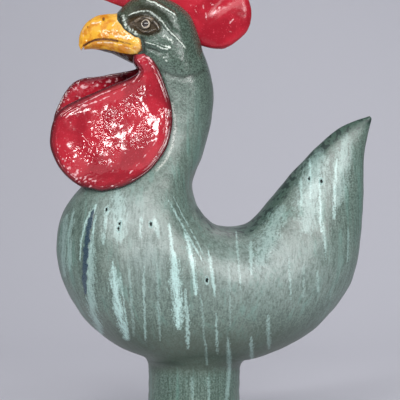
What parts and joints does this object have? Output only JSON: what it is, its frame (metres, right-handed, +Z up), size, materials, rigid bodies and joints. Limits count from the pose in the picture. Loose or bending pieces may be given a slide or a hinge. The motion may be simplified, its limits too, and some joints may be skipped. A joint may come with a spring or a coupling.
{
  "type": "pottery rooster",
  "caption": "Hand-built pottery rooster standing on a hollow round pedestal, with an upright lobed comb, large wattles, a hooked beak and a raised pointed tail.",
  "frame": {"origin": "on the pedestal's axis, in the plane that the foot stands on", "axes": "+Z up; the bird looks towards -X, its tail points towards +X and its left side faces -Y"},
  "size_m": [0.2571, 0.1222, 0.3967],
  "materials": {
    "green_body": "satin sage green glaze with pale turquoise runs",
    "green_tail": "satin sage green glaze with pale turquoise runs",
    "green_neck": "satin dark green glaze",
    "green_head": "glossy dark green glaze",
    "green_pedestal": "satin sage green glaze",
    "red_comb": "high gloss red glaze",
    "red_wattle": "high gloss red glaze",
    "yellow_beak": "high gloss yellow glaze",
    "eye_glaze": "high gloss dark pupil in a pale ring",
    "lid_glaze": "glossy olive glaze"
  },
  "bodies": {
    "root": {"pedestal": "green_pedestal", "body": "green_body", "tail": "green_tail", "neck": "green_neck", "head": "green_head", "upper_beak": "yellow_beak", "lower_beak": "yellow_beak", "comb": "red_comb", "left_wattle": "red_wattle", "right_wattle": "red_wattle", "left_eye": "eye_glaze", "right_eye": "eye_glaze", "left_brow": "green_head", "right_brow": "green_head", "left_upper_lid": "lid_glaze", "right_upper_lid": "lid_glaze", "left_lower_lid": "lid_glaze", "right_lower_lid": "lid_glaze"}
  },
  "joints": []
}
